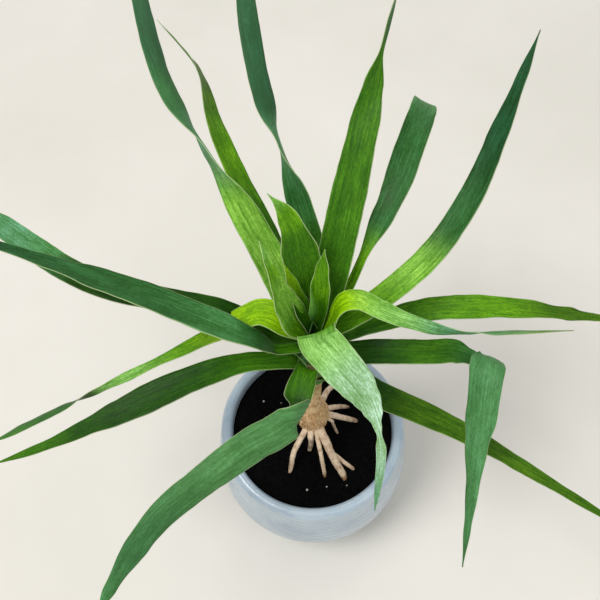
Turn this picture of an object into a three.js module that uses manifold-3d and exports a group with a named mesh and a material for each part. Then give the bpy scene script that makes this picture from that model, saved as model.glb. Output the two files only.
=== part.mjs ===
// A dragon tree in a round glazed pot. Millimetres, +Z up.
// The origin is on the pot's axis, on the surface that the pot stands on.
// The plant has one short bare stem on stilt roots, and a crown of long strap
// leaves that spread, arch, twist and fold over, with young leaves in the middle.
import * as THREE from "three";
import Module from "manifold-3d";
import { mergeVertices } from "three/addons/utils/BufferGeometryUtils.js";

const wasm = await Module();
wasm.setup();

// ---- Driving dimensions ----
const GAP = 0.3;
const RIM_TOP = 150;
const RIM_INNER_RADIUS = 80;
const RIM_OUTER_RADIUS = 92;
const BELLY_RADIUS = 99;
const BELLY_HEIGHT = 80;
const FOOT_RADIUS = 64;
const FLOOR_THICKNESS = 11;
const SOIL_TOP = 138;
const POT_SIDES = 48;

const ROOT_CROWN = [0, 0, 178];
const STEM_TOP = [3, 14, 340];
const STEM_SIDES = 16;
const ROOT_SIDES = 8;
const ROOT_STEPS = 7;

const LEAF_STEPS = 26;
const FOLDED_LEAF_STEPS = 64;
const LEAF_START = 7;
const YOUNG_LEAF_START = 3;
const LEAF_THICKNESS = 1.6;
const MARGIN_THICKNESS = 0.8;
const CHANNEL = 0.09;
const YOUNG_CHANNEL = 0.2;

// The stem's radius at each height above the table, from the root crown to the growing tip.
const STEM_RADII = [
  [164, 5],
  [168, 11],
  [174, 14],
  [182, 14.6],
  [190, 13.5],
  [198, 10.5],
  [206, 8],
  [215, 7],
  [240, 7.4],
  [256, 9],
  [268, 11],
  [290, 11.5],
  [302, 9.5],
  [310, 6],
  [314, 3],
];
// The bark's fibres and ridges stand this far out from those radii.
const BARK_DEPTH = 0.8;

// Each root leaves the root crown and comes down on the soil: out from the axis (mm),
// heading (degrees from +X towards +Y), thickness (mm) at the crown and at the soil.
const ROOTS = {
  root_back: { out: 54, heading: 59, from: 7, to: 4.5 },
  root_back_right: { out: 42, heading: 30, from: 6, to: 3.5 },
  root_right: { out: 44, heading: 8, from: 6.5, to: 4.5 },
  root_right_short: { out: 25, heading: -12, from: 3.6, to: 2.4 },
  root_main: { out: 57, heading: -60, from: 9, to: 6 },
  root_front: { out: 48, heading: -78, from: 5, to: 3.5 },
  root_front_short: { out: 22, heading: -99, from: 6.5, to: 4 },
  root_left: { out: 48, heading: -119, from: 6.5, to: 4 },
};

// Each leaf: the height of its base on the stem; the points it passes through, as
// [out from the pot's axis, heading in degrees, height]; its width at shares of its
// length; and the turn of its blade about its own line, in degrees, at those shares.
const LEAVES = {
  leaf_spear: {
    base: 320,
    way: [[15, 85, 350], [20, 90, 380]],
    width: [[0, 5], [0.5, 7], [1, 0.6]],
    roll: [[0, 0], [1, 0]],
    young: true,
  },
  leaf_young_right: {
    base: 318,
    way: [[22, 75, 345], [28, 75, 375], [40, 75, 400]],
    width: [[0, 10], [0.35, 14], [0.6, 15], [0.8, 10], [1, 0.6]],
    roll: [[0, 0], [1, 0]],
    young: true,
  },
  leaf_young_sliver: {
    base: 316,
    way: [[20, 105, 345], [28, 115, 370], [38, 120, 395]],
    width: [[0, 12], [0.4, 15], [0.7, 10], [1, 0.6]],
    roll: [[0, 0], [1, 0]],
    young: true,
  },
  leaf_young_large: {
    base: 314,
    way: [[22, 95, 340], [30, 95, 365], [45, 100, 395], [60, 105, 415], [75, 112, 425]],
    width: [[0, 14], [0.2, 22], [0.4, 28], [0.62, 27], [0.8, 16], [1, 0.6]],
    roll: [[0, 0], [1, -20]],
    young: true,
  },
  leaf_young_front: {
    base: 312,
    way: [[15, 130, 340], [20, 140, 360], [25, 145, 380], [30, 145, 400], [48, 135, 420]],
    width: [[0, 16], [0.2, 22], [0.35, 25], [0.5, 21], [0.7, 13], [0.85, 7], [1, 0.6]],
    roll: [[0, -10], [0.35, -40], [1, -40]],
    young: true,
  },
  leaf_right_pale: {
    base: 308,
    way: [
      [20, 40, 345], [26, 35, 365], [36, 20, 374], [50, 5, 372], [70, -2, 366],
      [110, -3, 352], [195, 0, 338],
    ],
    width: [[0, 18], [0.25, 16], [0.37, 14], [0.5, 10], [0.62, 7], [0.8, 6], [1, 0.8]],
    roll: [[0, 0], [0.5, 0], [0.66, 80], [0.75, 120], [1, 120]],
  },
  leaf_front_pale: {
    base: 312,
    way: [
      [3, 30, 350], [8, -60, 352], [20, -55, 350], [35, -52, 344], [50, -48, 330],
      [65, -48, 310], [85, -53, 272], [110, -64, 212],
    ],
    width: [
      [0, 18], [0.1, 24], [0.17, 29], [0.24, 31], [0.32, 30], [0.4, 27], [0.46, 21],
      [0.52, 15], [0.58, 7], [0.63, 4], [0.69, 8], [0.8, 7], [0.9, 5], [1, 0.8],
    ],
    roll: [[0, 23], [0.4, 20], [0.6, 40], [1, 60]],
  },
  leaf_left_yellow: {
    base: 308,
    way: [
      [27, 140, 336], [44, 148, 342], [58, 158, 335], [72, 165, 325], [100, 173, 308],
      [160, 182, 285], [200, 185, 270], [275, 189, 250],
    ],
    width: [
      [0, 18], [0.12, 25], [0.25, 23], [0.35, 15], [0.5, 9], [0.65, 7], [0.8, 10], [0.9, 9],
      [1, 0.8],
    ],
    roll: [[0, 0], [0.5, 0], [0.66, -90], [0.78, -165], [1, -170]],
  },
  leaf_back_broad: {
    base: 310,
    way: [
      [25, 72, 332], [50, 71, 355], [90, 71, 395], [130, 71, 433], [175, 71, 468],
      [225, 71, 488],
    ],
    width: [
      [0, 20], [0.2, 27], [0.4, 27], [0.6, 22], [0.7, 15], [0.79, 5], [0.88, 8], [1, 0.8],
    ],
    roll: [[0, 0], [0.6, 0], [0.85, 80], [1, 110]],
  },
  leaf_back_twisted: {
    base: 304,
    way: [
      [45, 90, 325], [72, 88, 350], [98, 95, 390], [122, 100, 425], [155, 102, 455],
      [205, 101, 480], [250, 99, 486],
    ],
    width: [[0, 18], [0.15, 22], [0.35, 20], [0.52, 17], [0.75, 16], [0.9, 13], [1, 0.8]],
    roll: [[0, 0], [0.35, -20], [0.51, -90], [0.62, -150], [1, -170]],
  },
  leaf_back_left_long: {
    base: 300,
    way: [
      [55, 114, 345], [95, 120, 388], [135, 123, 423], [185, 123, 450], [255, 118, 468],
      [310, 115, 466],
    ],
    width: [[0, 20], [0.15, 27], [0.35, 22], [0.5, 17], [0.7, 16], [0.85, 13], [1, 0.8]],
    roll: [[0, 0], [0.25, 0], [0.46, -90], [0.6, -150], [1, -165]],
  },
  leaf_back_left_hidden: {
    base: 294,
    way: [
      [60, 107, 328], [100, 111, 358], [135, 113, 378], [180, 113, 396], [240, 111, 402],
      [330, 113, 390],
    ],
    width: [[0, 18], [0.3, 20], [0.5, 18], [0.8, 11], [1, 0.8]],
    roll: [[0, 0], [0.2, 10], [0.45, 25], [0.75, 65], [1, 70]],
  },
  leaf_back_arched: {
    base: 302,
    way: [
      [36, 58, 326], [55, 55, 342], [80, 55, 368], [110, 55, 392], [150, 58, 408],
      [185, 60, 408], [213, 62, 390], [220, 63, 360],
    ],
    width: [
      [0, 14], [0.15, 8], [0.28, 7], [0.42, 18], [0.55, 23], [0.8, 21], [0.92, 16],
      [1, 0.8],
    ],
    roll: [[0, 0], [0.6, 0], [0.82, 25], [1, 25]],
  },
  leaf_right_sickle: {
    base: 306,
    way: [
      [26, 40, 328], [58, 28, 348], [100, 28, 376], [142, 34, 402], [188, 41, 425],
      [228, 45, 438], [270, 48, 446],
    ],
    width: [[0, 17], [0.15, 20], [0.35, 21], [0.5, 20], [0.68, 16], [0.84, 9], [1, 0.8]],
    roll: [[0, 0], [1, 0]],
  },
  leaf_right_wavy: {
    base: 286,
    way: [
      [34, 42, 300], [66, 27, 308], [100, 20, 317], [140, 13, 323], [185, 9, 318],
      [270, 6, 292],
    ],
    width: [
      [0, 14], [0.15, 16], [0.3, 19], [0.45, 20], [0.6, 16], [0.75, 10], [0.9, 6], [1, 0.8],
    ],
    roll: [[0, 0], [1, 0]],
  },
  leaf_left_broad: {
    base: 298,
    way: [
      [24, 174, 314], [37, 180, 338], [55, 180, 358], [86, 175, 373], [120, 171, 383],
      [190, 167, 391], [300, 163, 382],
    ],
    width: [
      [0, 12], [0.08, 9], [0.18, 20], [0.28, 28], [0.42, 27], [0.54, 24], [0.64, 15],
      [0.76, 10], [0.88, 9], [1, 0.8],
    ],
    roll: [[0, 0], [1, 0]],
  },
  leaf_left_back: {
    base: 288,
    way: [
      [46, 147, 312], [64, 153, 326], [80, 157, 336], [110, 162, 345], [155, 164, 351],
      [195, 162, 352], [245, 158, 349], [308, 154, 337],
    ],
    width: [[0, 16], [0.2, 18], [0.5, 20], [0.7, 20], [0.88, 19], [0.95, 14], [1, 0.8]],
    roll: [[0, 0], [1, 0]],
  },
  leaf_right_bent: {
    base: 280,
    way: [
      [42, 12, 295], [70, 4, 302], [95, 2, 303], [112, 2, 302], [124, 0, 300],
      [132, -2, 300], [136, -2, 302], [137, -3, 307], [135, -6, 312], [134, -10, 311],
      [136, -20, 296], [140, -28, 284], [153, -39, 266], [184, -54, 241],
    ],
    width: [
      [0, 18], [0.12, 22], [0.36, 21], [0.395, 14], [0.425, 12], [0.455, 25], [0.5, 27],
      [0.62, 25], [0.7, 18], [0.8, 11], [0.9, 6], [1, 0.8],
    ],
    roll: [[0, 0], [0.41, 0], [0.455, 92], [0.54, 125], [1, 130]],
    steps: FOLDED_LEAF_STEPS,
  },
  leaf_front_bent: {
    base: 280,
    way: [
      [12, -125, 293], [24, -116, 295], [33, -114, 293], [40, -112, 290], [44, -110, 291],
      [46, -108, 295], [49, -108, 300], [54, -111, 301], [66, -119, 298], [80, -126, 296],
      [120, -134, 285], [160, -137, 273], [200, -136, 259], [240, -134, 243],
    ],
    width: [
      [0, 12], [0.06, 13], [0.11, 22], [0.135, 22], [0.16, 9], [0.17, 9], [0.195, 33],
      [0.21, 33], [0.25, 28], [0.4, 28], [0.6, 24], [0.78, 19], [0.92, 10], [1, 0.8],
    ],
    roll: [[0, 0], [0.155, 0], [0.19, 40], [0.22, 52], [0.26, 108], [1, 112]],
    steps: FOLDED_LEAF_STEPS,
  },
  leaf_left_low: {
    base: 278,
    way: [
      [50, 175, 294], [98, 186, 296], [160, 192, 287], [220, 193, 266], [278, 192, 240],
    ],
    width: [
      [0, 14], [0.15, 17], [0.3, 22], [0.45, 25], [0.55, 21], [0.65, 14], [0.8, 8],
      [1, 0.8],
    ],
    roll: [[0, 0], [1, 0]],
  },
  leaf_front_right_low: {
    base: 266,
    way: [
      [30, 0, 268], [57, -15, 262], [100, -18, 252], [145, -20, 240], [195, -23, 231],
      [290, -26, 214],
    ],
    width: [[0, 16], [0.15, 24], [0.3, 22], [0.45, 18], [0.6, 13], [0.8, 8], [1, 0.8]],
    roll: [[0, 0], [1, 0]],
  },
};

// ---- Materials ----
const look = (color, roughness) => new THREE.MeshStandardMaterial({ color, roughness, metalness: 0 });
const GLAZE = look(0xb4c3d3, 0.25);
const SOIL = look(0x1d1a18, 0.95);
const BARK = look(0xa8845a, 0.8);
const ROOT = look(0xc9ab8c, 0.8);
const LEAF = look(0x4f7d46, 0.5);
const YOUNG_LEAF = look(0x7cae4a, 0.5);

// ---- Helpers ----
const radians = THREE.MathUtils.degToRad;

function place([out, heading, height]) {
  const turn = radians(heading);
  return new THREE.Vector3(out * Math.cos(turn), out * Math.sin(turn), height);
}

// The value at a share of the length, easing from key to key.
function keyed(keys, share) {
  let value = keys[0][1];
  for (let i = 1; i < keys.length; i += 1) {
    const [from, a] = keys[i - 1];
    const [to, b] = keys[i];
    if (share > from) {
      value = a + (b - a) * THREE.MathUtils.smoothstep(share, from, to);
    }
  }
  return value;
}

function stemCentre(height) {
  const share = (height - ROOT_CROWN[2]) / (STEM_TOP[2] - ROOT_CROWN[2]);
  const foot = new THREE.Vector3(...ROOT_CROWN);
  return foot.lerp(new THREE.Vector3(...STEM_TOP), share);
}

// Joins rings of points, all of the same count, into one closed solid.
function loft(rings) {
  const count = rings[0].length;
  const points = rings.flat();
  const triangles = [];
  const cap = (ring, order) => {
    for (let k = 1; k < count - 1; k += 1) {
      const corners = [ring * count, ring * count + k, ring * count + k + 1];
      triangles.push(...(order > 0 ? corners : corners.reverse()));
    }
  };
  cap(0, -1);
  for (let i = 0; i < rings.length - 1; i += 1) {
    for (let k = 0; k < count; k += 1) {
      const a = i * count + k;
      const b = i * count + ((k + 1) % count);
      triangles.push(a, b, b + count);
      triangles.push(a, b + count, a + count);
    }
  }
  cap(rings.length - 1, 1);
  const solid = new wasm.Manifold(
    new wasm.Mesh({
      numProp: 3,
      vertProperties: new Float32Array(points.flatMap((p) => p.toArray())),
      triVerts: new Uint32Array(triangles),
    }),
  );
  return solid;
}

function largest(solid) {
  const pieces = solid.decompose();
  return pieces.reduce((best, piece) => (piece.volume() > best.volume() ? piece : best));
}

function geometryOf(solid) {
  const { numProp, vertProperties, triVerts } = solid.getMesh();
  const points = [];
  for (let i = 0; i < vertProperties.length; i += numProp) {
    points.push(vertProperties[i], vertProperties[i + 1], vertProperties[i + 2]);
  }
  const geometry = new THREE.BufferGeometry();
  geometry.setAttribute("position", new THREE.Float32BufferAttribute(points, 3));
  geometry.setIndex([...triVerts]);
  geometry.computeVertexNormals();
  return geometry;
}

// ---- Pot and soil: turned shapes about the pot's axis ----
const INNER_WALL = [
  [RIM_INNER_RADIUS + 1.5, 118],
  [BELLY_RADIUS - 12, BELLY_HEIGHT],
  [BELLY_RADIUS - 20, 42],
  [FOOT_RADIUS - 2, 16],
  [FOOT_RADIUS - 14, FLOOR_THICKNESS],
];

function turned(profile) {
  const outline = profile.map(([radius, height]) => new THREE.Vector2(radius, height));
  const geometry = new THREE.LatheGeometry(outline, POT_SIDES);
  geometry.rotateX(Math.PI / 2);
  geometry.deleteAttribute("normal");
  geometry.deleteAttribute("uv");
  const merged = mergeVertices(geometry, 1e-4);
  merged.computeVertexNormals();
  return merged;
}

const potGeometry = turned([
  [0, 0],
  [FOOT_RADIUS - 4, 0],
  [FOOT_RADIUS, 1.5],
  [FOOT_RADIUS + 10, 13],
  [BELLY_RADIUS - 11, 34],
  [BELLY_RADIUS - 3, 56],
  [BELLY_RADIUS, BELLY_HEIGHT],
  [BELLY_RADIUS - 1.5, 104],
  [BELLY_RADIUS - 5, 126],
  [RIM_OUTER_RADIUS, 140],
  [RIM_OUTER_RADIUS - 0.6, 145],
  [RIM_OUTER_RADIUS - 3, 148.6],
  [RIM_OUTER_RADIUS - 6, RIM_TOP],
  [RIM_INNER_RADIUS + 3, 149.2],
  [RIM_INNER_RADIUS + 0.8, 146.5],
  [RIM_INNER_RADIUS, 142],
  [RIM_INNER_RADIUS, 132],
  ...INNER_WALL,
  [0, FLOOR_THICKNESS],
]);

const soilGeometry = turned([
  [0, FLOOR_THICKNESS + GAP],
  ...[...INNER_WALL].reverse().map(([radius, height]) => [radius - 2 * GAP, height + GAP]),
  [RIM_INNER_RADIUS - 2 * GAP, 132],
  [RIM_INNER_RADIUS - 2 * GAP, SOIL_TOP],
  [0, SOIL_TOP],
]);

// ---- Stem ----
function roundRing(centre, radius, across, along, sides) {
  const ring = [];
  for (let k = 0; k < sides; k += 1) {
    const turn = (2 * Math.PI * k) / sides;
    const point = centre.clone();
    point.addScaledVector(across, radius * Math.cos(turn));
    point.addScaledVector(along, radius * Math.sin(turn));
    ring.push(point);
  }
  return ring;
}

function stem(grow) {
  const x = new THREE.Vector3(1, 0, 0);
  const y = new THREE.Vector3(0, 1, 0);
  const last = STEM_RADII.length - 1;
  return loft(
    STEM_RADII.map(([height, radius], i) => {
      const lift = i === 0 ? -grow : i === last ? grow : 0;
      const centre = stemCentre(height);
      centre.z += lift;
      return roundRing(centre, radius + BARK_DEPTH + grow, x, y, STEM_SIDES);
    }),
  );
}

// ---- Roots: tapered rods that leave the root crown and end on the soil ----
function root({ out, heading, from, to }) {
  const curve = new THREE.CatmullRomCurve3([
    place([4, heading, 176]),
    place([18, heading, 169]),
    place([0.62 * out + 5, heading, 156]),
    place([out, heading, SOIL_TOP + 0.5 * to]),
  ]);
  const side = place([1, heading + 90, 0]);
  const rings = [];
  for (let i = 0; i <= ROOT_STEPS; i += 1) {
    const share = i / ROOT_STEPS;
    const along = curve.getTangentAt(share);
    const radius = 0.5 * (from + (to - from) * share);
    const over = new THREE.Vector3().crossVectors(along, side);
    rings.push(roundRing(curve.getPointAt(share), radius, side, over, ROOT_SIDES));
  }
  return loft(rings);
}

// ---- Leaves: a channelled strap carried along a curve ----
function strap({ base, way, width, roll, young, steps = LEAF_STEPS }, grow) {
  const foot = stemCentre(base);
  const away = place(way[0]).sub(foot).setZ(0).normalize();
  const start = foot.addScaledVector(away, young ? YOUNG_LEAF_START : LEAF_START);
  const curve = new THREE.CatmullRomCurve3([start, ...way.map(place)], false, "catmullrom");
  const channel = young ? YOUNG_CHANNEL : CHANNEL;
  const side = new THREE.Vector3();
  const rings = [];
  for (let i = 0; i <= steps; i += 1) {
    const share = i / steps;
    const along = curve.getTangentAt(share);
    if (i === 0) {
      side.crossVectors(along, new THREE.Vector3(0, 0, 1));
    }
    side.addScaledVector(along, -side.dot(along)).normalize();
    const across = side.clone().applyAxisAngle(along, radians(keyed(roll, share)));
    const face = new THREE.Vector3().crossVectors(across, along);
    const half = 0.5 * keyed(width, share) + grow;
    const dip = 2 * half * channel;
    const centre = curve.getPointAt(share);
    if (i === 0 || i === steps) {
      centre.addScaledVector(along, i === 0 ? -grow : grow);
    }
    const thin = 0.5 * MARGIN_THICKNESS + grow;
    const thick = 0.5 * LEAF_THICKNESS * Math.min(1, 0.3 + half / 6) + grow;
    const section = [
      [0, thick - dip],
      [1, thin],
      [1, -thin],
      [0, -thick - dip],
      [-1, -thin],
      [-1, thin],
    ];
    rings.push(
      section.map(([edge, height]) =>
        centre.clone().addScaledVector(across, edge * half).addScaledVector(face, height),
      ),
    );
  }
  return loft(rings);
}

// ---- Assembly ----
const plant = new THREE.Group();

function add(name, geometry, material) {
  const mesh = new THREE.Mesh(geometry, material);
  mesh.name = name;
  plant.add(mesh);
}

add("pot", potGeometry, GLAZE);
add("soil", soilGeometry, SOIL);
add("stem", geometryOf(stem(0)), BARK);

// Every piece is trimmed where it would run into a piece that is already there.
let taken = stem(GAP);
for (const [name, shape] of Object.entries(ROOTS)) {
  const solid = root(shape);
  add(name, geometryOf(largest(solid.subtract(taken))), ROOT);
  taken = taken.add(solid);
}

const leafGroup = new THREE.Group();
plant.add(leafGroup);
let leavesTaken = stem(GAP);
for (const [name, shape] of Object.entries(LEAVES)) {
  const piece = largest(strap(shape, 0).subtract(leavesTaken));
  const mesh = new THREE.Mesh(geometryOf(piece), shape.young ? YOUNG_LEAF : LEAF);
  mesh.name = name;
  leafGroup.add(mesh);
  leavesTaken = leavesTaken.add(strap(shape, GAP));
}

export default plant;
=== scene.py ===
# A dragon tree in a round glazed pot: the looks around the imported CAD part.
# Shapes are made in millimetres about the pot's axis and turned into metres at the end.
import math

import bpy
import numpy as np
from mathutils import Matrix, Vector, noise


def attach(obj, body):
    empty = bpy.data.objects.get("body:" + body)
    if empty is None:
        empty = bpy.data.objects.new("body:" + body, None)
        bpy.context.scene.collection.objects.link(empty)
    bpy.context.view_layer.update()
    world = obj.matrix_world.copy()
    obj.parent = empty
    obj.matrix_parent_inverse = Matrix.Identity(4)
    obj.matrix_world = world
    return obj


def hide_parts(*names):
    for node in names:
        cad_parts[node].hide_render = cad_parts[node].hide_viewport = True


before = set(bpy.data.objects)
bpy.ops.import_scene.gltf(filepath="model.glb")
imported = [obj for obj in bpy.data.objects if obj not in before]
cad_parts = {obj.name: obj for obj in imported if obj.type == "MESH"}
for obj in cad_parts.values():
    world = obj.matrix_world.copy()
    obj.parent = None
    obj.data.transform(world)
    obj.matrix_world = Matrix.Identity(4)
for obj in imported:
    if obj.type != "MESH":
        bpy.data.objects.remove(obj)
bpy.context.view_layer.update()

# ---- Dimensions ----
MM = 0.001
SOIL_TOP = 138
SOIL_RADIUS = 79.6
ROOT_CROWN = np.array([0.0, 0.0, 178.0])
STEM_TOP = np.array([3.0, 14.0, 340.0])
# A visible blade starts a little further out from the stem than its CAD solid does.
LEAF_START = 9.0
YOUNG_LEAF_START = 4.5
CHANNEL = 0.11
YOUNG_CHANNEL = 0.2
MARGIN_WAVE = 0.35
# Pale specks on the soil: out from the axis, heading in degrees, size.
PERLITE = ((58, 148, 1.1), (62, -97, 1.2), (60, -79, 0.9), (42, 138, 0.7), (66, -62, 0.7))
CAMERA_PLACE = (-0.008, -0.216, 0.772)
CAMERA_LENS = 39.0

# ---- Palette, as linear colours of the sRGB values below ----


def srgb(red, green, blue):
    return tuple(
        (c / 12.92 if c <= 0.04045 else ((c + 0.055) / 1.055) ** 2.4)
        for c in (red / 255, green / 255, blue / 255)
    )


LIME = srgb(136, 184, 8)
BRIGHT = srgb(124, 178, 62)
FRESH = srgb(92, 146, 14)
MID = srgb(60, 112, 10)
DEEP = srgb(30, 72, 4)
OLIVE = srgb(66, 106, 10)
BLUE_GREEN = srgb(46, 98, 44)
DARK_BLUE = srgb(24, 74, 38)
SEA = srgb(72, 130, 72)
PALE_SEA = srgb(88, 144, 100)
PALE_GREEN = srgb(132, 186, 92)
FOLD = srgb(76, 130, 66)
# Painted sheen: this whitish green stands for light reflected off a blade's face.
PALE_SHEEN = srgb(168, 208, 168)
TIP = srgb(110, 136, 60)
MARGIN = srgb(200, 214, 160)

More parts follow.
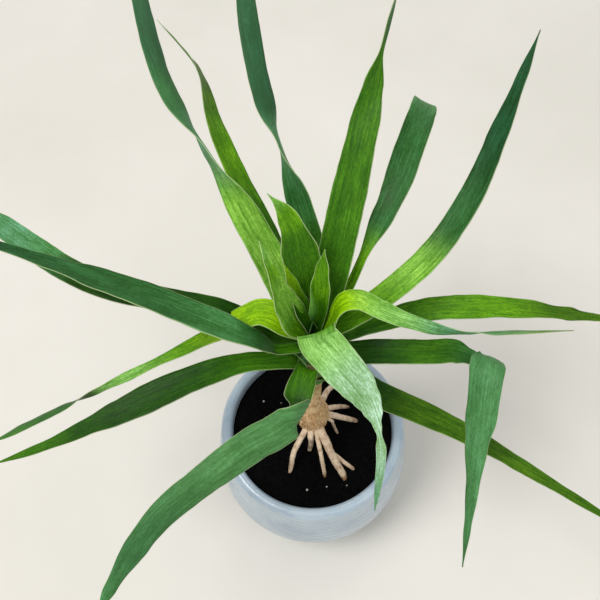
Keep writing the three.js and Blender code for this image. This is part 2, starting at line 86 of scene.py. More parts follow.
# ---- Leaves, as in the CAD part, with their colours from base to tip ----
# way: [out from the pot's axis, heading in degrees, height]; width and roll: (share of
# the length, mm or degrees); tint: (share, colour); wave: how far the margins ripple.
LEAVES = {
    "leaf_spear": dict(
        base=320,
        way=[(15, 85, 350), (20, 90, 380)],
        width=[(0, 5), (0.5, 7), (1, 0.6)],
        roll=[(0, 0), (1, 0)],
        tint=[(0, DEEP), (0.4, MID), (1, FRESH)],
        young=True,
    ),
    "leaf_young_right": dict(
        base=318,
        way=[(22, 75, 345), (28, 75, 375), (40, 75, 400)],
        width=[(0, 10), (0.35, 14), (0.6, 15), (0.8, 10), (1, 0.6)],
        roll=[(0, 0), (1, 0)],
        tint=[(0, DEEP), (0.3, MID), (0.6, FRESH), (1, FRESH)],
        young=True,
    ),
    "leaf_young_sliver": dict(
        base=316,
        way=[(20, 105, 345), (28, 115, 370), (38, 120, 395)],
        width=[(0, 12), (0.4, 15), (0.7, 10), (1, 0.6)],
        roll=[(0, 0), (1, 0)],
        tint=[(0, DEEP), (0.4, MID), (1, LIME)],
        young=True,
    ),
    "leaf_young_large": dict(
        base=314,
        way=[(22, 95, 340), (30, 95, 365), (45, 100, 395), (60, 105, 415), (75, 112, 425)],
        width=[(0, 14), (0.2, 22), (0.4, 28), (0.62, 27), (0.8, 16), (1, 0.6)],
        roll=[(0, 0), (1, -20)],
        tint=[(0, DEEP), (0.25, MID), (0.7, MID), (0.85, FRESH), (1, PALE_GREEN)],
        young=True,
    ),
    "leaf_young_front": dict(
        base=312,
        way=[
            (15, 130, 340), (20, 140, 360), (25, 145, 380), (30, 145, 400), (48, 135, 420),
        ],
        width=[(0, 16), (0.2, 22), (0.35, 25), (0.5, 21), (0.7, 13), (0.85, 7), (1, 0.6)],
        roll=[(0, -10), (0.35, -40), (1, -40)],
        tint=[(0, MID), (0.2, FRESH), (0.4, BRIGHT), (0.65, BRIGHT), (0.8, FRESH), (1, PALE_GREEN)],
        young=True,
    ),
    "leaf_right_pale": dict(
        base=308,
        way=[
            (20, 40, 345), (26, 35, 365), (36, 20, 374), (50, 5, 372), (70, -2, 366),
            (110, -3, 352), (195, 0, 338),
        ],
        width=[(0, 18), (0.25, 16), (0.37, 14), (0.5, 10), (0.62, 7), (0.8, 6), (1, 0.8)],
        roll=[(0, 0), (0.5, 0), (0.66, 80), (0.75, 120), (1, 120)],
        tint=[(0, FRESH), (0.25, LIME), (0.42, PALE_GREEN), (0.6, PALE_SEA), (1, TIP)],
    ),
    "leaf_front_pale": dict(
        base=312,
        way=[
            (3, 30, 350), (8, -60, 352), (20, -55, 350), (35, -52, 344), (50, -48, 330),
            (65, -48, 310), (85, -53, 272), (110, -64, 212),
        ],
        width=[
            (0, 18),
            (0.1, 24),
            (0.17, 29),
            (0.24, 31),
            (0.32, 30),
            (0.4, 27),
            (0.46, 21),
            (0.52, 15),
            (0.58, 7),
            (0.63, 4),
            (0.69, 8),
            (0.8, 7),
            (0.9, 5),
            (1, 0.8),
        ],
        roll=[(0, 23), (0.4, 20), (0.6, 40), (1, 60)],
        # The pale middle of this blade is painted sheen: the light reflected off its face is put into the
        # tint.
        tint=[
            (0, MID), (0.15, FRESH), (0.24, PALE_GREEN), (0.42, PALE_SHEEN), (0.6, PALE_SHEEN),
            (1, PALE_SEA),
        ],
    ),
    "leaf_left_yellow": dict(
        base=308,
        way=[
            (27, 140, 336), (44, 148, 342), (58, 158, 335), (72, 165, 325), (100, 173, 308),
            (160, 182, 285), (200, 185, 270), (275, 189, 250),
        ],
        width=[
            (0, 18),
            (0.12, 25),
            (0.25, 23),
            (0.35, 15),
            (0.5, 9),
            (0.65, 7),
            (0.8, 10),
            (0.9, 9),
            (1, 0.8),
        ],
        roll=[(0, 0), (0.5, 0), (0.66, -90), (0.78, -165), (1, -170)],
        tint=[(0, MID), (0.1, LIME), (0.28, LIME), (0.4, FRESH), (0.62, PALE_GREEN), (0.7, DEEP), (1, MID)],
    ),
    "leaf_back_broad": dict(
        base=310,
        way=[
            (25, 72, 332), (50, 71, 355), (90, 71, 395), (130, 71, 433), (175, 71, 468),
            (225, 71, 488),
        ],
        width=[(0, 20), (0.2, 27), (0.4, 27), (0.6, 22), (0.7, 15), (0.79, 5), (0.88, 8), (1, 0.8)],
        roll=[(0, 0), (0.6, 0), (0.85, 80), (1, 110)],
        tint=[(0, MID), (0.2, MID), (0.5, MID), (0.75, MID), (0.9, BLUE_GREEN), (1, SEA)],
    ),
    "leaf_back_twisted": dict(
        base=304,
        way=[
            (45, 90, 325), (72, 88, 350), (98, 95, 390), (122, 100, 425), (155, 102, 455),
            (205, 101, 480), (250, 99, 486),
        ],
        width=[(0, 18), (0.15, 22), (0.35, 20), (0.52, 17), (0.75, 16), (0.9, 13), (1, 0.8)],
        roll=[(0, 0), (0.35, -20), (0.51, -90), (0.62, -150), (1, -170)],
        tint=[
            (0, FRESH), (0.2, MID), (0.35, BLUE_GREEN), (0.52, PALE_SEA), (0.6, DARK_BLUE),
            (1, DARK_BLUE),
        ],
    ),
    "leaf_back_left_long": dict(
        base=300,
        way=[
            (55, 114, 345), (95, 120, 388), (135, 123, 423), (185, 123, 450),
            (255, 118, 468), (310, 115, 466),
        ],
        width=[(0, 20), (0.15, 27), (0.35, 22), (0.5, 17), (0.7, 16), (0.85, 13), (1, 0.8)],
        roll=[(0, 0), (0.25, 0), (0.46, -90), (0.6, -150), (1, -165)],
        tint=[
            (0, MID), (0.15, BRIGHT), (0.35, BRIGHT), (0.47, PALE_SEA), (0.6, BLUE_GREEN),
            (0.72, DARK_BLUE), (1, DARK_BLUE),
        ],
    ),
    "leaf_back_left_hidden": dict(
        base=294,
        way=[
            (60, 107, 328), (100, 111, 358), (135, 113, 378), (180, 113, 396),
            (240, 111, 402), (330, 113, 390),
        ],
        width=[(0, 18), (0.3, 20), (0.5, 18), (0.8, 11), (1, 0.8)],
        roll=[(0, 0), (0.2, 10), (0.45, 25), (0.75, 65), (1, 70)],
        tint=[(0, MID), (0.3, MID), (0.5, FRESH), (0.7, OLIVE), (1, OLIVE)],
    ),
    "leaf_back_arched": dict(
        base=302,
        way=[
            (36, 58, 326), (55, 55, 342), (80, 55, 368), (110, 55, 392), (150, 58, 408),
            (185, 60, 408), (213, 62, 390), (220, 63, 360),
        ],
        width=[
            (0, 14),
            (0.15, 8),
            (0.28, 7),
            (0.42, 18),
            (0.55, 23),
            (0.8, 21),
            (0.92, 16),
            (1, 0.8),
        ],
        roll=[(0, 0), (0.6, 0), (0.82, 25), (1, 25)],
        tint=[
            (0, MID), (0.15, FRESH), (0.28, FRESH), (0.4, BLUE_GREEN), (0.7, BLUE_GREEN),
            (0.85, SEA), (1, PALE_SEA),
        ],
    ),
    "leaf_right_sickle": dict(
        base=306,
        way=[
            (26, 40, 328), (58, 28, 348), (100, 28, 376), (142, 34, 402), (188, 41, 425),
            (228, 45, 438), (270, 48, 446),
        ],
        width=[(0, 17), (0.15, 20), (0.35, 21), (0.5, 20), (0.68, 16), (0.84, 9), (1, 0.8)],
        roll=[(0, 0), (1, 0)],
        tint=[(0, MID), (0.2, FRESH), (0.32, BRIGHT), (0.45, BLUE_GREEN), (0.7, DARK_BLUE), (1, DARK_BLUE)],
    ),
    "leaf_right_wavy": dict(
        base=286,
        way=[
            (34, 42, 300), (66, 27, 308), (100, 20, 317), (140, 13, 323), (185, 9, 318),
            (270, 6, 292),
        ],
        width=[
            (0, 14),
            (0.15, 16),
            (0.3, 19),
            (0.45, 20),
            (0.6, 16),
            (0.75, 10),
            (0.9, 6),
            (1, 0.8),
        ],
        roll=[(0, 0), (1, 0)],
        tint=[(0, DEEP), (0.2, MID), (0.5, FRESH), (0.75, OLIVE), (1, OLIVE)],
        wave=2.4,
    ),
    "leaf_left_broad": dict(
        base=298,
        way=[
            (24, 174, 314), (37, 180, 338), (55, 180, 358), (86, 175, 373), (120, 171, 383),
            (190, 167, 391), (300, 163, 382),
        ],
        width=[
            (0, 12),
            (0.08, 9),
            (0.18, 20),
            (0.28, 28),
            (0.42, 27),
            (0.54, 24),
            (0.64, 15),
            (0.76, 10),
            (0.88, 9),
            (1, 0.8),
        ],
        roll=[(0, 0), (1, 0)],
        tint=[(0, DEEP), (0.08, MID), (0.16, BLUE_GREEN), (0.26, SEA), (0.4, BLUE_GREEN), (1, DARK_BLUE)],
    ),
    "leaf_left_back": dict(
        base=288,
        way=[
            (46, 147, 312), (64, 153, 326), (80, 157, 336), (110, 162, 345), (155, 164, 351),
            (195, 162, 352), (245, 158, 349), (308, 154, 337),
        ],
        width=[(0, 16), (0.2, 18), (0.5, 20), (0.7, 20), (0.88, 19), (0.95, 14), (1, 0.8)],
        roll=[(0, 0), (1, 0)],
        tint=[(0, MID), (0.2, DEEP), (0.6, DEEP), (0.72, SEA), (0.85, PALE_SEA), (1, SEA)],
    ),
    "leaf_right_bent": dict(
        base=280,
        way=[
            (42, 12, 295), (70, 4, 302), (95, 2, 303), (112, 2, 302), (124, 0, 300),
            (132, -2, 300), (136, -2, 302), (137, -3, 307), (135, -6, 312), (134, -10, 311),
            (136, -20, 296), (140, -28, 284), (153, -39, 266), (184, -54, 241),
        ],
        width=[
            (0, 18),
            (0.12, 22),
            (0.36, 21),
            (0.395, 14),
            (0.425, 12),
            (0.455, 25),
            (0.5, 27),
            (0.62, 25),
            (0.7, 18),
            (0.8, 11),
            (0.9, 6),
            (1, 0.8),
        ],
        roll=[(0, 0), (0.41, 0), (0.455, 92), (0.54, 125), (1, 130)],
        tint=[
            (0, MID), (0.15, DEEP), (0.3, MID), (0.42, BLUE_GREEN), (0.46, SEA), (0.7, SEA),
            (1, BLUE_GREEN),
        ],
    ),
    "leaf_front_bent": dict(
        base=280,
        way=[
            (12, -125, 293), (24, -116, 295), (33, -114, 293), (40, -112, 290),
            (44, -110, 291), (46, -108, 295), (49, -108, 300), (54, -111, 301),
            (66, -119, 298), (80, -126, 296), (120, -134, 285), (160, -137, 273),
            (200, -136, 259), (240, -134, 243),
        ],
        width=[
            (0, 12),
            (0.06, 13),
            (0.11, 22),
            (0.135, 22),
            (0.16, 9),
            (0.17, 9),
            (0.195, 33),
            (0.21, 33),
            (0.25, 28),
            (0.4, 28),
            (0.6, 24),
            (0.78, 19),
            (0.92, 10),
            (1, 0.8),
        ],
        roll=[(0, 0), (0.155, 0), (0.19, 40), (0.22, 52), (0.26, 108), (1, 112)],
        tint=[(0, OLIVE), (0.1, MID), (0.16, DEEP), (0.19, FOLD), (0.4, FOLD), (0.8, BLUE_GREEN), (1, SEA)],
    ),
    "leaf_left_low": dict(
        base=278,
        way=[
            (50, 175, 294), (98, 186, 296), (160, 192, 287), (220, 193, 266),
            (278, 192, 240),
        ],
        width=[
            (0, 14),
            (0.15, 17),
            (0.3, 22),
            (0.45, 25),
            (0.55, 21),
            (0.65, 14),
            (0.8, 8),
            (1, 0.8),
        ],
        roll=[(0, 0), (1, 0)],
        tint=[(0, MID), (0.15, MID), (0.35, DEEP), (0.65, DEEP), (0.85, MID), (1, OLIVE)],
    ),
    "leaf_front_right_low": dict(
        base=266,
        way=[
            (30, 0, 268), (57, -15, 262), (100, -18, 252), (145, -20, 240), (195, -23, 231),
            (290, -26, 214),
        ],
        width=[(0, 16), (0.15, 24), (0.3, 22), (0.45, 18), (0.6, 13), (0.8, 8), (1, 0.8)],
        roll=[(0, 0), (1, 0)],
        tint=[(0, MID), (0.15, DEEP), (0.3, OLIVE), (0.8, OLIVE), (1, MID)],
    ),
}

# ---- Stem and roots, as in the CAD part ----
# The last step of a leaf stops this share of the way to the CAD leaf's tip.
TIP_REACH = 0.8
STEM_RADII = [
    (164, 5),
    (168, 11),
    (174, 14),
    (182, 14.6),
    (190, 13.5),
    (198, 10.5),
    (206, 8),
    (215, 7),
    (240, 7.4),
    (256, 9),
    (268, 11),
    (290, 11.5),
    (302, 9.5),
    (310, 6),
    (314, 3),
]
ROOTS = {
    "root_back": dict(out=54, heading=59, start=7, end=4.5),
    "root_back_right": dict(out=42, heading=30, start=6, end=3.5),
    "root_right": dict(out=44, heading=8, start=6.5, end=4.5),
    "root_right_short": dict(out=25, heading=-12, start=3.6, end=2.4),
    "root_main": dict(out=57, heading=-60, start=9, end=6),
    "root_front": dict(out=48, heading=-78, start=5, end=3.5),
    "root_front_short": dict(out=22, heading=-99, start=6.5, end=4),
    "root_left": dict(out=48, heading=-119, start=6.5, end=4),
}
POT_OUTLINE = [
    (0, 0),
    (60, 0),
    (64, 1.5),
    (74, 13),
    (88, 34),
    (96, 56),
    (99, 80),
    (97.5, 104),
    (94, 126),
    (92, 140),
    (91.4, 145),
    (89, 148.6),
    (86, 150),
    (83, 149.2),
    (80.8, 146.5),
    (80, 142),
    (80, 132),
    (81.5, 118),
    (87, 80),
    (79, 42),
    (62, 16),
    (50, 11),
    (0, 11),
]


# ---- Numbers and curves ----
def place(out, heading, height):
    turn = math.radians(heading)
    return np.array([out * math.cos(turn), out * math.sin(turn), height])


def ease(x, low, high):
    t = min(1.0, max(0.0, (x - low) / (high - low)))
    return t * t * (3 - 2 * t)


def keyed(keys, share):
    """The value at a share of the length, easing from key to key."""
    value = np.array(keys[0][1], float)
    for (low, a), (high, b) in zip(keys, keys[1:]):
        if share > low:
            value = np.array(a, float) + (np.array(b, float) - a) * ease(share, low, high)
    return value


def curve_through(points, steps):
    """Evenly spaced points on a Catmull-Rom curve, and the curve's length."""
    ends = [2 * points[0] - points[1], *points, 2 * points[-1] - points[-2]]
    fine = []
    for p0, p1, p2, p3 in zip(ends, ends[1:], ends[2:], ends[3:]):
        for k in range(60):
            t = k / 60
            fine.append(
                0.5 * (2 * p1 + (p2 - p0) * t)
                + 0.5 * (2 * p0 - 5 * p1 + 4 * p2 - p3) * t**2
                + 0.5 * (3 * p1 - p0 - 3 * p2 + p3) * t**3
            )
    fine = np.array([*fine, points[-1]])
    run = np.concatenate([[0], np.cumsum(np.linalg.norm(np.diff(fine, axis=0), axis=1))])
    even = np.linspace(0, run[-1], steps + 1)
    return np.stack([np.interp(even, run, fine[:, k]) for k in range(3)], 1), run[-1]


def unit(v):
    return v / np.linalg.norm(v)


def stem_centre(height):
    share = (height - ROOT_CROWN[2]) / (STEM_TOP[2] - ROOT_CROWN[2])
    return ROOT_CROWN + (STEM_TOP - ROOT_CROWN) * share


def stem_radius(height):
    return float(np.interp(height, [h for h, _ in STEM_RADII], [r for _, r in STEM_RADII]))


def grain(x, y, z):
    """Smooth noise from -1 to 1 at a point in millimetres."""
    return noise.noise(Vector((x, y, z)))


# ---- Meshes ----
def make_object(name, points, faces, material, smooth=True):
    mesh = bpy.data.meshes.new(name)
    mesh.from_pydata([tuple(p * MM) for p in points], [], faces)
    mesh.polygons.foreach_set("use_smooth", [smooth] * len(faces))
    mesh.materials.append(material)
    mesh.update()
    made = bpy.data.objects.new(name, mesh)
    bpy.context.scene.collection.objects.link(made)
    return made


def stands_for(piece, node):
    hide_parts(node)
    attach(piece, "root")


def ring_faces(rings, count):
    """Quads between rings of the same count, with a fan over each end."""
    faces = []
    for i in range(rings - 1):
        for k in range(count):
            a = i * count + k
            b = i * count + (k + 1) % count
            faces.append((a, b, b + count, a + count))
    faces.append(tuple(reversed(range(count))))
    faces.append(tuple(range((rings - 1) * count, rings * count)))
    return faces


# ---- Leaves ----
def leaf_surface(leaf, steps, across_steps):
    """The middle surface of a leaf, as a grid of points, with its length."""
    foot = stem_centre(leaf["base"])
    first = place(*leaf["way"][0])
    away = first - foot
    away[2] = 0
    away = unit(away)
    start = foot + away * (YOUNG_LEAF_START if leaf.get("young") else LEAF_START)
    spine, length = curve_through([start] + [place(*w) for w in leaf["way"]], steps)
    spine[-1] = spine[-2] + TIP_REACH * (spine[-1] - spine[-2])
    along = np.gradient(spine, axis=0)
    along /= np.linalg.norm(along, axis=1)[:, None]
    side = unit(np.cross(along[0], [0, 0, 1.0]))
    channel = YOUNG_CHANNEL if leaf.get("young") else CHANNEL
    wave = leaf.get("wave", MARGIN_WAVE)
    seed = leaf["base"] + 3.1 * leaf["way"][0][1]
    heading = math.atan2(away[1], away[0])
    grid = np.zeros((steps + 1, across_steps + 1, 3))
    for i in range(steps + 1):
        share = i / steps
        side = unit(side - along[i] * side.dot(along[i]))
        turn = math.radians(float(keyed(leaf["roll"], share)))
        across = side * math.cos(turn) + np.cross(along[i], side) * math.sin(turn)
        face = np.cross(across, along[i])
        half = 0.5 * float(keyed(leaf["width"], share))
        clasp = 1 - ease(share * length, 3, 34)
        for k in range(across_steps + 1):
            u = 2 * k / across_steps - 1
            ripple = wave * abs(u) ** 3 * (0.3 + share) * min(1, half / 5)
            lift = ripple * grain(share * length / 17, seed + 5 * (u > 0), 0) * 2
            dip = -2 * half * channel * (1 - u * u) * (1 - 0.45 * share)
            edge = half * (1 + 0.03 * grain(share * length / 9, seed, 7 * u))
            point = spine[i] + across * (u * edge) + face * (dip + lift)
            if clasp > 0:
                climb = foot[2] + share * length * 0.9
                radius = stem_radius(climb) + 1.2 + 0.6 * abs(math.sin(seed))
                around = heading - u * (1.5 if not leaf.get("young") else 1.1)
                sheath = stem_centre(climb - 4 * u * u)
                sheath = sheath + radius * np.array([math.cos(around), math.sin(around), 0])
                point = point * (1 - clasp) + sheath * clasp
            grid[i, k] = point
    return grid, length


def grid_normals(grid):
    down = np.gradient(grid, axis=0)
    over = np.gradient(grid, axis=1)
    normals = np.cross(over, down)
    size = np.linalg.norm(normals, axis=2)
    size[size < 1e-9] = 1
    return normals / size[:, :, None]


def make_leaf(name, leaf, material):
    young = leaf.get("young", False)
    steps = 60 if young else 170
    over = 12
    grid, length = leaf_surface(leaf, steps, over)
    normals = grid_normals(grid)
    points = []
    tints = []
    places = []
    edges = []
    under = []
    for i in range(steps + 1):
        share = i / steps
        tint = keyed(leaf["tint"], share)
        half = 0.5 * float(keyed(leaf["width"], share))
        for below in (0, 1):
            order = range(over + 1) if not below else range(over, -1, -1)
            for k in order:
                u = 2 * k / over - 1
                thick = (0.32 + 0.6 * (1 - abs(u) ** 1.5) * min(1, half / 6)) * (1.1 - 0.4 * share)
                reach = -thick if below else thick
                points.append(grid[i, k] + normals[i, k] * reach)
                tints.append((*tint, 1.0))
                places.append((u * half, share * length, leaf["base"] + leaf["way"][0][1]))
                edges.append(u * u)
                under.append(float(below))
    faces = ring_faces(steps + 1, 2 * (over + 1))
    piece = make_object(name, points, faces, material)
    mesh = piece.data
    mesh.attributes.new("tint", "FLOAT_COLOR", "POINT").data.foreach_set("color", np.ravel(tints))
    mesh.attributes.new("place", "FLOAT_VECTOR", "POINT").data.foreach_set("vector", np.ravel(places))
    mesh.attributes.new("edge", "FLOAT", "POINT").data.foreach_set("value", edges)
    mesh.attributes.new("under", "FLOAT", "POINT").data.foreach_set("value", under)
    return piece


# ---- Materials ----
class Nodes:
    """A short way to write a material's nodes."""

    def __init__(self, name):
        self.material = bpy.data.materials.new(name)
        self.material.use_nodes = True
        self.tree = self.material.node_tree
        self.shader = self.tree.nodes["Principled BSDF"]

    def add(self, kind, **values):
        node = self.tree.nodes.new(kind)
        for key, value in values.items():
            setattr(node, key, value)
        return node

    def join(self, source, target):
        self.tree.links.new(source, target)

    def noise(self, vector, scale, detail=3.0, rough=0.5, stretch=None):
        node = self.add("ShaderNodeTexNoise")
        node.inputs["Scale"].default_value = scale
        node.inputs["Detail"].default_value = detail
        node.inputs["Roughness"].default_value = rough
        if stretch:
            mapping = self.add("ShaderNodeMapping")
            mapping.inputs["Scale"].default_value = stretch
            self.join(vector, mapping.inputs["Vector"])
            vector = mapping.outputs["Vector"]
        self.join(vector, node.inputs["Vector"])
        return node.outputs["Fac"]

    def span(self, value, low, high, to_low=0.0, to_high=1.0):
        node = self.add("ShaderNodeMapRange", clamp=True)
        for key, number in (
            ("From Min", low),
            ("From Max", high),
            ("To Min", to_low),
            ("To Max", to_high),
        ):
            node.inputs[key].default_value = number
        self.join(value, node.inputs["Value"])
        return node.outputs["Result"]

    def mix(self, factor, first, second, blend="MIX"):
        node = self.add("ShaderNodeMix", data_type="RGBA", blend_type=blend)
        colours = [s for s in node.inputs if s.type == "RGBA"]
        for value, socket in ((factor, node.inputs[0]), (first, colours[0]), (second, colours[1])):
            if isinstance(value, (int, float)):
                socket.default_value = value
            elif isinstance(value, tuple):
                socket.default_value = (*value[:3], 1.0)
            else:
                self.join(value, socket)
        return [s for s in node.outputs if s.type == "RGBA"][0]

    def maths(self, operation, a, b):
        node = self.add("ShaderNodeMath", operation=operation)
        for value, socket in ((a, node.inputs[0]), (b, node.inputs[1])):
            if isinstance(value, (int, float)):
                socket.default_value = value
            else:
                self.join(value, socket)
        return node.outputs["Value"]

    def bump(self, height, strength, distance):
        node = self.add("ShaderNodeBump")
        node.inputs["Strength"].default_value = strength
        node.inputs["Distance"].default_value = distance
        self.join(height, node.inputs["Height"])
        self.join(node.outputs["Normal"], self.shader.inputs["Normal"])

    def attribute(self, name, output):
        return self.add("ShaderNodeAttribute", attribute_name=name).outputs[output]


def leaf_material(name, young):
    """Lengthwise veins, soft mottling, a paler underside, scars and a thin pale margin."""
    n = Nodes(name)
    where = n.attribute("place", "Vector")
    tint = n.attribute("tint", "Color")
    edge = n.attribute("edge", "Fac")
    under = n.attribute("under", "Fac")
    veins = n.noise(where, 1.0, 2.0, 0.6, (0.95, 0.014, 1.0))
    mottle = n.noise(where, 1.0, 4.0, 0.6, (0.1, 0.035, 1.0))
    cells = n.noise(where, 1.0, 3.0, 0.65, (0.5, 0.075, 1.0))
    grains = n.noise(where, 1.0, 2.0, 0.6, (0.9, 0.34, 1.0))
    colour = tint
    for pattern, low, high, dark, light in (
        (mottle, 0.34, 0.66, (0.62, 0.73, 0.5), (1.26, 1.18, 1.35)),
        (veins, 0.34, 0.66, (0.68, 0.77, 0.58), (1.28, 1.2, 1.35)),
        (cells, 0.36, 0.64, (0.74, 0.82, 0.66), (1.22, 1.16, 1.3)),
        (grains, 0.36, 0.64, (0.76, 0.83, 0.7), (1.22, 1.16, 1.3)),
    ):
        colour = n.mix(1.0, colour, n.mix(n.span(pattern, low, high), dark, light), "MULTIPLY")
    colour = n.mix(n.span(under, 0.0, 1.0, 0.0, 0.18), colour, srgb(96, 144, 104))
    scars = n.noise(where, 1.0, 1.0, 0.4, (0.9, 0.16, 1.0))
    colour = n.mix(n.span(scars, 0.77, 0.81, 0.0, 0.5), colour, srgb(104, 96, 44))
    colour = n.mix(n.span(edge, 0.93, 0.985, 0.0, 0.65 if young else 0.5), colour, MARGIN)
    n.join(colour, n.shader.inputs["Base Color"])
    n.join(n.span(mottle, 0.3, 0.7, 0.4, 0.56), n.shader.inputs["Roughness"])
    n.shader.inputs["Specular IOR Level"].default_value = 0.14
    n.shader.inputs["Subsurface Weight"].default_value = 0.06
    n.shader.inputs["Subsurface Radius"].default_value = (0.3, 0.6, 0.1)
    n.shader.inputs["Subsurface Scale"].default_value = 0.003
    height = n.maths("ADD", veins, n.maths("MULTIPLY", cells, 0.6))
    n.bump(height, 0.45, 0.0008)
    return n.material


def glaze_material():
    """Pale blue-grey glaze with brushed rings, cloudy patches and fine pits."""
    n = Nodes("pot_glaze")
    where = n.add("ShaderNodeTexCoord").outputs["Object"]
    rings = n.noise(where, 1.0, 4.0, 0.65, (9.0, 9.0, 420.0))
    fine_rings = n.noise(where, 1.0, 2.0, 0.6, (30.0, 30.0, 1600.0))
    clouds = n.noise(where, 28.0, 4.0, 0.6)
    patches = n.noise(where, 1.0, 4.0, 0.62, (60.0, 60.0, 160.0))
    colour = n.mix(n.span(clouds, 0.35, 0.68), srgb(146, 166, 184), srgb(174, 191, 204))
    colour = n.mix(n.span(rings, 0.45, 0.72, 0.0, 0.35), colour, srgb(196, 209, 217))
    colour = n.mix(n.span(patches, 0.56, 0.74, 0.0, 0.45), colour, srgb(126, 148, 168))
    colour = n.mix(n.span(fine_rings, 0.5, 0.75, 0.0, 0.2), colour, srgb(198, 208, 214))
    pits = n.noise(where, 420.0, 1.0, 0.4)
    colour = n.mix(n.span(pits, 0.72, 0.78, 0.0, 0.4), colour, srgb(112, 130, 146))
    n.join(colour, n.shader.inputs["Base Color"])
    n.join(n.span(rings, 0.3, 0.7, 0.2, 0.38), n.shader.inputs["Roughness"])
    n.shader.inputs["Specular IOR Level"].default_value = 0.55
    n.shader.inputs["Coat Weight"].default_value = 0.35
    n.shader.inputs["Coat Roughness"].default_value = 0.12
    height = n.maths("ADD", n.maths("MULTIPLY", rings, 0.6), n.maths("MULTIPLY", clouds, 1.4))
    n.bump(height, 0.25, 0.0009)
    return n.material


def soil_material():
    n = Nodes("soil")
    where = n.add("ShaderNodeTexCoord").outputs["Object"]
    crumbs = n.noise(where, 320.0, 6.0, 0.7)
    damp = n.noise(where, 38.0, 3.0, 0.5)
    # The near-black crumb colours are partly painted shade: the shade the leaves cast on the soil is put
    # into its colour.
    colour = n.mix(n.span(crumbs, 0.35, 0.72), srgb(2, 2, 3), srgb(13, 12, 12))
    colour = n.mix(n.span(damp, 0.4, 0.65, 0.0, 0.6), colour, srgb(3, 3, 4))
    n.join(colour, n.shader.inputs["Base Color"])
    n.join(n.span(damp, 0.35, 0.7, 0.95, 0.75), n.shader.inputs["Roughness"])
    n.shader.inputs["Specular IOR Level"].default_value = 0.05
    n.bump(crumbs, 0.6, 0.0016)
    return n.material


def perlite_material():
    n = Nodes("perlite")
    where = n.add("ShaderNodeTexCoord").outputs["Object"]
    dust = n.noise(where, 600.0, 4.0, 0.6)
    colour = n.mix(n.span(dust, 0.3, 0.7), srgb(120, 118, 112), srgb(198, 196, 190))
    n.join(colour, n.shader.inputs["Base Color"])
    n.shader.inputs["Roughness"].default_value = 0.9
    n.bump(dust, 0.4, 0.0006)
    return n.material


def bark_material(name, pale, mid, dark, stretch):
    """Dry fibrous skin with long streaks, darker cracks and small scars."""
    n = Nodes(name)
    where = n.add("ShaderNodeTexCoord").outputs["Object"]
    fibres = n.noise(where, 1.0, 5.0, 0.7, stretch)
    blotch = n.noise(where, 120.0, 4.0, 0.6)
    specks = n.noise(where, 900.0, 2.0, 0.5)
    colour = n.mix(n.span(fibres, 0.32, 0.68), mid, pale)
    colour = n.mix(n.span(blotch, 0.48, 0.7, 0.0, 0.55), colour, dark)
    colour = n.mix(n.span(specks, 0.62, 0.7, 0.0, 0.6), colour, dark)
    tips = n.maths("MULTIPLY", n.span(n.attribute("age", "Fac"), 0.55, 1.0), n.span(blotch, 0.36, 0.56))
    colour = n.mix(tips, colour, dark)
    n.join(colour, n.shader.inputs["Base Color"])
    n.join(n.span(fibres, 0.3, 0.7, 0.92, 0.7), n.shader.inputs["Roughness"])
    n.shader.inputs["Specular IOR Level"].default_value = 0.25
    height = n.maths("ADD", fibres, n.maths("MULTIPLY", specks, 0.3))
    n.bump(height, 0.7, 0.0011)
    return n.material


def stem_material():
    """Tan bark low down, turning to reddish rings and pale green sheaths under the crown."""
    n = Nodes("stem_bark")
    where = n.add("ShaderNodeTexCoord").outputs["Object"]
    height = n.add("ShaderNodeSeparateXYZ")
    n.join(where, height.inputs["Vector"])
    level = height.outputs["Z"]
    fibres = n.noise(where, 1.0, 5.0, 0.7, (520.0, 520.0, 150.0))
    blotch = n.noise(where, 150.0, 4.0, 0.6)
    rings = n.noise(where, 1.0, 3.0, 0.6, (25.0, 25.0, 330.0))
    colour = n.mix(n.span(fibres, 0.3, 0.7), srgb(176, 128, 76), srgb(228, 204, 160))
    colour = n.mix(n.span(blotch, 0.5, 0.7, 0.0, 0.7), colour, srgb(128, 84, 40))
    upper = n.mix(n.span(rings, 0.42, 0.62), srgb(168, 166, 104), srgb(120, 78, 44))
    colour = n.mix(n.span(level, 0.222, 0.262), colour, upper)
    colour = n.mix(n.span(level, 0.286, 0.3), colour, DEEP)
    n.join(colour, n.shader.inputs["Base Color"])
    n.shader.inputs["Roughness"].default_value = 0.8
    n.shader.inputs["Specular IOR Level"].default_value = 0.25
    n.bump(n.maths("ADD", fibres, n.maths("MULTIPLY", rings, 0.8)), 0.7, 0.0012)
    return n.material


def floor_material():
    n = Nodes("floor")
    where = n.add("ShaderNodeTexCoord").outputs["Object"]
    clouds = n.noise(where, 2.6, 4.0, 0.55)
    colour = n.mix(n.span(clouds, 0.3, 0.7), srgb(214, 211, 203), srgb(224, 221, 214))
    n.join(colour, n.shader.inputs["Base Color"])
    n.shader.inputs["Roughness"].default_value = 0.85
    n.shader.inputs["Specular IOR Level"].default_value = 0.2
    return n.material


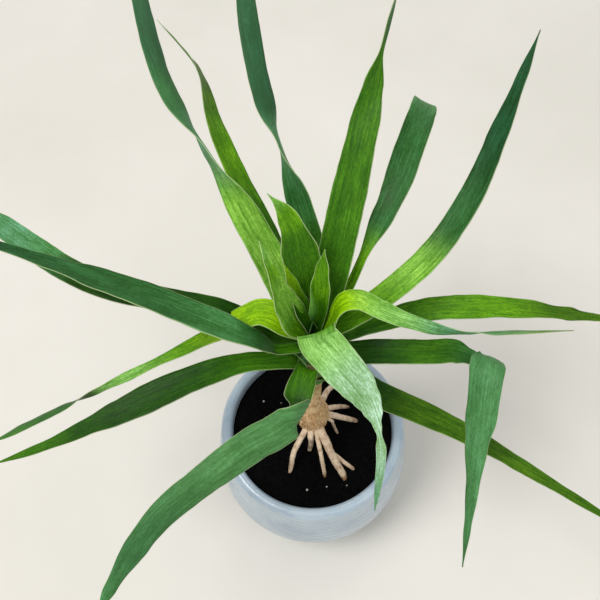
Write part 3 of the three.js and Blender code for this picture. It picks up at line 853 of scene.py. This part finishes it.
# ---- Pot ----
def make_pot():
    outline = []
    marks = [np.array([r, h, 0.0]) for r, h in POT_OUTLINE]
    for low, high in ((1, 9), (9, 16), (16, 21)):
        run, _ = curve_through(marks[low : high + 1], 60)
        outline += [(p[0], p[1]) for p in run[: -1 if high < 21 else None]]
    sides = 200
    points = [np.array([0.0, 0.0, 0.0])]
    for radius, height in outline:
        for k in range(sides):
            turn = 2 * math.pi * k / sides
            x, y = math.cos(turn), math.sin(turn)
            calm = min(1.0, height / 12)
            radius_here = radius + 0.35 * calm * (grain(2 * x, 2 * y, height / 26) - 0.5)
            points.append(np.array([radius_here * x, radius_here * y, height]))
    points.append(np.array([0.0, 0.0, 11.0]))
    faces = []
    rings = len(outline)
    for k in range(sides):
        nxt = (k + 1) % sides
        faces.append((0, 1 + nxt, 1 + k))
        for i in range(rings - 1):
            a = 1 + i * sides
            faces.append((a + k, a + nxt, a + sides + nxt, a + sides + k))
        last = 1 + (rings - 1) * sides
        faces.append((last + k, last + nxt, len(points) - 1))
    piece = make_object("pot_body", points, faces, glaze_material())
    stands_for(piece, "pot")


# ---- Soil ----
def crumb(points, faces, centre, size, seed):
    """A small uneven lump: eight sides, three rings and two poles."""
    first = len(points)
    points.append(centre + np.array([0, 0, -0.7 * size]))
    for level in (-0.45, 0.05, 0.5):
        reach = size * math.sqrt(1 - level * level)
        for k in range(8):
            turn = 2 * math.pi * k / 8
            swell = reach * (1 + 0.35 * grain(seed + k * 1.7, level * 4, seed))
            points.append(
                centre + np.array([swell * math.cos(turn), swell * math.sin(turn), level * size])
            )
    points.append(centre + np.array([0, 0, 0.75 * size]))
    top = len(points) - 1
    for k in range(8):
        nxt = (k + 1) % 8
        faces.append((first, first + 1 + nxt, first + 1 + k))
        for ring in (0, 1):
            a = first + 1 + 8 * ring
            faces.append((a + k, a + nxt, a + 8 + nxt, a + 8 + k))
        faces.append((first + 17 + k, first + 17 + nxt, top))


def soil_height(x, y):
    big = 1.1 * grain(x / 22, y / 22, 3)
    small = 0.8 * grain(x / 5, y / 5, 8) + 0.5 * grain(x / 2.2, y / 2.2, 5)
    rise = 1.2 * math.exp(-((math.hypot(x, y) / 26) ** 2))
    return SOIL_TOP - 0.6 + big + small + rise


def make_soil():
    rings, sides = 90, 220
    points = [np.array([0.0, 0.0, soil_height(0, 0)])]
    for i in range(1, rings + 1):
        radius = SOIL_RADIUS * i / rings
        for k in range(sides):
            turn = 2 * math.pi * k / sides
            x, y = radius * math.cos(turn), radius * math.sin(turn)
            points.append(np.array([x, y, soil_height(x, y)]))
    for k in range(sides):
        turn = 2 * math.pi * k / sides
        points.append(np.array([SOIL_RADIUS * math.cos(turn), SOIL_RADIUS * math.sin(turn), 132]))
    points.append(np.array([0.0, 0.0, 132.0]))
    faces = []
    bottom = len(points) - 1
    for k in range(sides):
        nxt = (k + 1) % sides
        faces.append((0, 1 + k, 1 + nxt))
        for i in range(rings):
            a = 1 + i * sides
            faces.append((a + k, a + sides + k, a + sides + nxt, a + nxt))
        a = 1 + rings * sides
        faces.append((a + k, bottom, a + nxt))
    rng = np.random.default_rng(7)
    for _ in range(520):
        out = (SOIL_RADIUS - 3) * math.sqrt(rng.random())
        spot = place(out, 360 * rng.random(), 0)
        size = 0.6 + 1.5 * rng.random() ** 2
        spot[2] = soil_height(spot[0], spot[1]) + 0.1 * size
        crumb(points, faces, spot, size, float(rng.random() * 50))
    stands_for(make_object("soil_surface", points, faces, soil_material()), "soil")
    points, faces = [], []
    for out, heading, size in PERLITE:
        spot = place(out, heading, 0)
        spot[2] = soil_height(spot[0], spot[1]) + 0.4 * size
        crumb(points, faces, spot, size, out)
    specks = make_object("soil_perlite", points, faces, perlite_material())
    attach(specks, "root")


# ---- Stem and roots ----
def make_stem():
    sides, steps = 72, 190
    low, high = STEM_RADII[0][0], STEM_RADII[-1][0]
    points = []
    for i in range(steps + 1):
        height = low + (high - low) * i / steps
        centre = stem_centre(height)
        radius = stem_radius(height)
        knob = math.exp(-(((height - 178) / 14) ** 2))
        for k in range(sides):
            turn = 2 * math.pi * k / sides
            x, y = math.cos(turn), math.sin(turn)
            ridge = (0.5 + 1.6 * knob) * grain(2.6 * x, 2.6 * y, height / 24)
            fuzz = (0.35 + 0.9 * knob) * grain(9 * x, 9 * y, height / 4)
            scar = 0.5 * (1 - knob) * grain(0.8 * x, 0.8 * y, height / 2.6)
            reach = radius + ridge + fuzz + scar
            points.append(centre + np.array([reach * x, reach * y, 0]))
    piece = make_object("stem_bark", points, ring_faces(steps + 1, sides), stem_material())
    stands_for(piece, "stem")


def rod(way, start, end, seed, sides=20, steps=48):
    """The rings of a knotty tapered root along a curve."""
    spine, length = curve_through(way, steps)
    along = np.gradient(spine, axis=0)
    side = unit(np.cross(along[0], [0.3, 0.2, 1.0]))
    points = []
    ages = []
    for i in range(steps + 1):
        share = i / steps
        forward = unit(along[i])
        side = unit(side - forward * side.dot(forward))
        up = np.cross(forward, side)
        radius = 0.5 * (start + (end - start) * share) * (1 - 0.45 * ease(share, 0.84, 1))
        for k in range(sides):
            turn = 2 * math.pi * k / sides
            x, y = math.cos(turn), math.sin(turn)
            knot = 0.16 * radius * grain(1.5 * x + seed, 1.5 * y, share * length / 5)
            fuzz = 0.1 * radius * grain(5 * x, 5 * y + seed, share * length / 1.4)
            reach = radius + knot + fuzz
            points.append(spine[i] + side * (reach * x) + up * (reach * y))
            ages.append(share)
    return points, ring_faces(steps + 1, sides), ages


def root_way(out, heading, bend):
    return [
        place(5, heading, 177),
        place(18, heading + 0.4 * bend, 169),
        place(0.62 * out + 5, heading + bend, 156),
        place(out, heading, 139),
        place(out + 4, heading - 2, 133),
    ]


def make_roots(material):
    for index, (name, root) in enumerate(ROOTS.items()):
        bend = 4 * math.sin(2.3 * index + 1)
        way = root_way(root["out"], root["heading"], bend)
        points, faces, ages = rod(way, root["start"], root["end"], index * 3.7)
        if name == "root_main":
            fork = [place(38, -58, 152), place(46, -53, 146), place(56, -48, 137), place(59, -47, 132)]
            more, more_faces, more_ages = rod(fork, 4.6, 3.4, 60.5)
            faces += [tuple(v + len(points) for v in face) for face in more_faces]
            points += more
            ages += more_ages
        piece = make_object(name + "_skin", points, faces, material)
        piece.data.attributes.new("age", "FLOAT", "POINT").data.foreach_set("value", ages)
        stands_for(piece, name)


def make_fibres(material):
    """Short dry fibres that lie over the root crown."""
    rng = np.random.default_rng(11)
    points, faces = [], []
    for index in range(150):
        turn = 360 * rng.random()
        height = 173 + 30 * rng.random()
        lean = 40 * (rng.random() - 0.5)
        drop = 3 + 6 * rng.random()
        way = [
            place(stem_radius(height) + 0.2, turn, height),
            place(stem_radius(height - 0.5 * drop) + 1.5, turn + 0.5 * lean, height - 0.5 * drop),
            place(stem_radius(height - drop) + 1.9, turn + lean, height - drop),
        ]
        more, more_faces, _ = rod(way, 0.8, 0.4, 1.3 * index, 5, 5)
        faces += [tuple(v + len(points) for v in face) for face in more_faces]
        points += more
    fibres = make_object("stem_fibres", points, faces, material)
    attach(fibres, "root")


# ---- Build ----
make_pot()
make_soil()
make_stem()
make_roots(
    bark_material(
        "root_skin", srgb(240, 220, 194), srgb(212, 184, 152), srgb(132, 90, 56), (260.0, 260.0, 260.0)
    )
)
make_fibres(
    bark_material(
        "root_fibres", srgb(232, 206, 158), srgb(196, 142, 86), srgb(116, 72, 34), (400.0, 400.0, 400.0)
    )
)
old_leaf = leaf_material("leaf_strap", False)
new_leaf = leaf_material("leaf_young", True)
for name, leaf in LEAVES.items():
    blade = make_leaf(name + "_blade", leaf, new_leaf if leaf.get("young") else old_leaf)
    stands_for(blade, name)

# ---- Stage ----
bpy.ops.mesh.primitive_plane_add(size=8.0, location=(0, 0, 0))
floor = bpy.context.active_object
floor.name = "floor"
floor.data.materials.append(floor_material())


def area_light(name, place_at, look_at, size, power, colour):
    lamp = bpy.data.lights.new(name, "AREA")
    lamp.shape = "DISK"
    lamp.size = size
    lamp.energy = power
    lamp.color = colour
    made = bpy.data.objects.new(name, lamp)
    made.location = place_at
    made.rotation_euler = (Vector(look_at) - Vector(place_at)).to_track_quat("-Z", "Y").to_euler()
    bpy.context.scene.collection.objects.link(made)


area_light("key", (-1.4, -0.5, 3.2), (0, 0.05, 0.2), 1.5, 76, (1.0, 0.985, 0.96))
area_light("fill", (1.2, -0.9, 1.4), (0, 0, 0.2), 1.6, 7, (0.96, 0.98, 1.0))
area_light("back", (0.3, 1.5, 1.5), (0, 0.05, 0.3), 1.4, 6, (1.0, 1.0, 1.0))
world = bpy.data.worlds.new("studio")
world.use_nodes = True
world.node_tree.nodes["Background"].inputs["Color"].default_value = (1.0, 0.995, 0.985, 1)
world.node_tree.nodes["Background"].inputs["Strength"].default_value = 0.5
bpy.context.scene.world = world
bpy.context.scene.view_settings.view_transform = "Standard"

# ---- Camera: looks down at 60 degrees, with a slight roll ----
PITCH = math.radians(60)
ROLL = math.radians(2)
forward = Vector((0, math.cos(PITCH), -math.sin(PITCH)))
right = Vector((1, 0, 0))
upward = right.cross(forward)
camera_right = right * math.cos(ROLL) - upward * math.sin(ROLL)
camera_up = right * math.sin(ROLL) + upward * math.cos(ROLL)
camera_data = bpy.data.cameras.new("camera")
camera_data.lens = CAMERA_LENS
camera_data.sensor_width = 36.0
camera_data.clip_start = 0.01
camera = bpy.data.objects.new("camera", camera_data)
camera.matrix_world = Matrix.Translation(CAMERA_PLACE) @ Matrix(
    (camera_right, camera_up, -forward)
).transposed().to_4x4()
bpy.context.scene.collection.objects.link(camera)
bpy.context.scene.camera = camera
